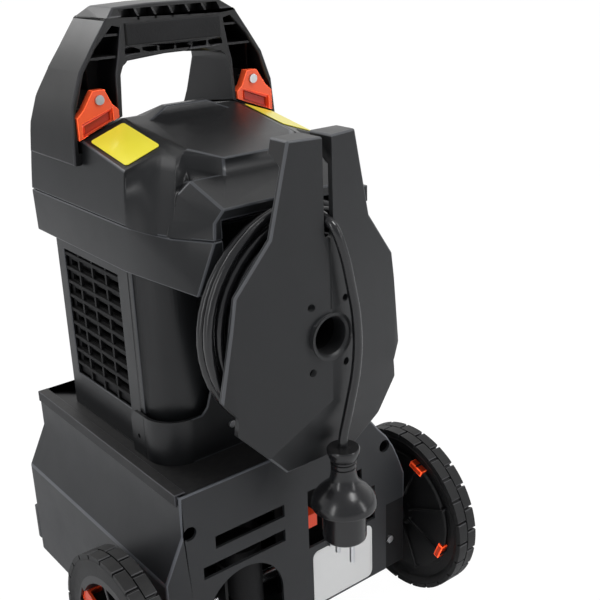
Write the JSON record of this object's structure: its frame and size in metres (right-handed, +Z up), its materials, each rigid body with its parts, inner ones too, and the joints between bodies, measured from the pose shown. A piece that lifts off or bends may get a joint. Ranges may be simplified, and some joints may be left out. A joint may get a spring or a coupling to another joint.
{
  "type": "pressure washer",
  "caption": "Upright cold-water pressure washer with a tower body, cord holder on the rear, bow handle that draws out and transport wheels.",
  "frame": {"origin": "on the ground, under the middle of the machine's bounding box without the cord, its coil and its plug", "axes": "+Z up; the front with the switch faces -Y, the rear with the cord holder faces +Y; +X is the left-hand side for someone facing the rear"},
  "size_m": [0.358, 0.3681, 0.6075],
  "materials": {
    "base_grey": "fine grained moulded plastic",
    "deck_grey": "fine grained moulded plastic",
    "inner_black": "plain moulded plastic",
    "body_black": "fine grained moulded plastic",
    "panel_black": "smooth moulded plastic",
    "plate_grey": "fine grained moulded plastic",
    "handle_black": "satin moulded plastic",
    "grip_grey": "soft moulded grip",
    "rim_black": "moulded plastic",
    "tyre_black": "treaded",
    "rubber_black": "soft",
    "cord_black": "satin sheath",
    "accent_orange": "smooth moulded plastic",
    "latch_orange": "smooth moulded plastic",
    "label_yellow": "plain printed film",
    "dial_white": "plain printed film",
    "plate_silver": "bare satin sheet",
    "steel_zinc": "zinc plated",
    "steel_bright": "ground",
    "motor_metal": "painted",
    "cast_alloy": "as cast",
    "brass_plain": "machined",
    "tank_white": "blow moulded, slightly see-through",
    "tube_clear": "clear tube"
  },
  "bodies": {
    "chassis": {"base_shell": "base_grey", "deck": "deck_grey", "base_rear_ribs": "inner_black", "base_floor": "inner_black", "front_bumper": "body_black", "feet": "rubber_black", "axle": "steel_bright", "axle_brackets": "inner_black", "axle_caps": "steel_zinc", "tower_shell": "body_black", "tower_band": "body_black", "top_cover": "body_black", "rear_collar": "body_black", "side_vents": "inner_black", "front_panel": "panel_black", "panel_dial": "dial_white", "shoulder_labels": "label_yellow", "rating_plate": "plate_silver", "cord_drum": "inner_black", "cord_plate": "plate_grey", "plate_screws": "steel_zinc", "cover_screws": "steel_zinc", "handle_guides": "inner_black", "motor_housing": "motor_metal", "gear_housing": "cast_alloy", "pistons": "steel_bright", "pump_head": "cast_alloy", "pressure_switch": "panel_black", "water_inlet": "brass_plain", "water_outlet": "brass_plain", "inlet_hose": "rubber_black", "outlet_pipe": "steel_bright", "detergent_tank": "tank_white", "suction_tube": "tube_clear", "switch_box": "panel_black", "rear_clip": "accent_orange", "lance_holder": "body_black", "hose_hook": "body_black", "cord_gland": "rubber_black", "cord_coil": "cord_black", "cord_tail": "cord_black", "plug_body": "cord_black", "plug_pins": "steel_zinc"},
    "handle": {"handle_frame": "handle_black", "handle_grip": "grip_grey", "latch_plates": "latch_orange", "latch_screws": "steel_zinc"},
    "latch_left": {"latch_button_left": "latch_orange"},
    "latch_right": {"latch_button_right": "latch_orange"},
    "wheel_left": {"tyre_left": "tyre_black", "rim_left": "rim_black", "hub_inserts_left": "accent_orange"},
    "wheel_right": {"tyre_right": "tyre_black", "rim_right": "rim_black", "hub_inserts_right": "accent_orange"},
    "rotor": {"motor_shaft": "steel_bright", "motor_fan": "inner_black", "wobble_plate": "steel_bright"},
    "switch": {"switch_knob": "accent_orange"},
    "cap": {"tank_cap": "accent_orange"}
  },
  "joints": [
    {"name": "handle_slide", "type": "slide", "parent": "chassis", "child": "handle", "axis": [0, 0, 1], "range_m": [0, 0.15]},
    {"name": "latch_left_press", "type": "slide", "parent": "handle", "child": "latch_left", "axis": [0, -1, 0], "range_m": [0, 0.003], "stiffness_N_per_m": 300},
    {"name": "latch_right_press", "type": "slide", "parent": "handle", "child": "latch_right", "axis": [0, -1, 0], "range_m": [0, 0.003], "stiffness_N_per_m": 300},
    {"name": "wheel_left_spin", "type": "hinge", "parent": "chassis", "child": "wheel_left", "pos_m": [0.1675, 0.0813, 0.088], "axis": [1, 0, 0], "continuous": true},
    {"name": "wheel_right_spin", "type": "hinge", "parent": "chassis", "child": "wheel_right", "pos_m": [-0.1675, 0.0813, 0.088], "axis": [1, 0, 0], "continuous": true},
    {"name": "rotor_spin", "type": "hinge", "parent": "chassis", "child": "rotor", "pos_m": [0, -0.03, 0.3], "axis": [0, 0, 1], "continuous": true},
    {"name": "switch_turn", "type": "hinge", "parent": "chassis", "child": "switch", "pos_m": [0, -0.16, 0.456], "axis": [0, -1, 0], "range_deg": [0, 90]},
    {"name": "cap_turn", "type": "hinge", "parent": "chassis", "child": "cap", "pos_m": [-0.078, -0.142, 0.237], "axis": [0, 0, 1], "range_deg": [0, 90]}
  ]
}
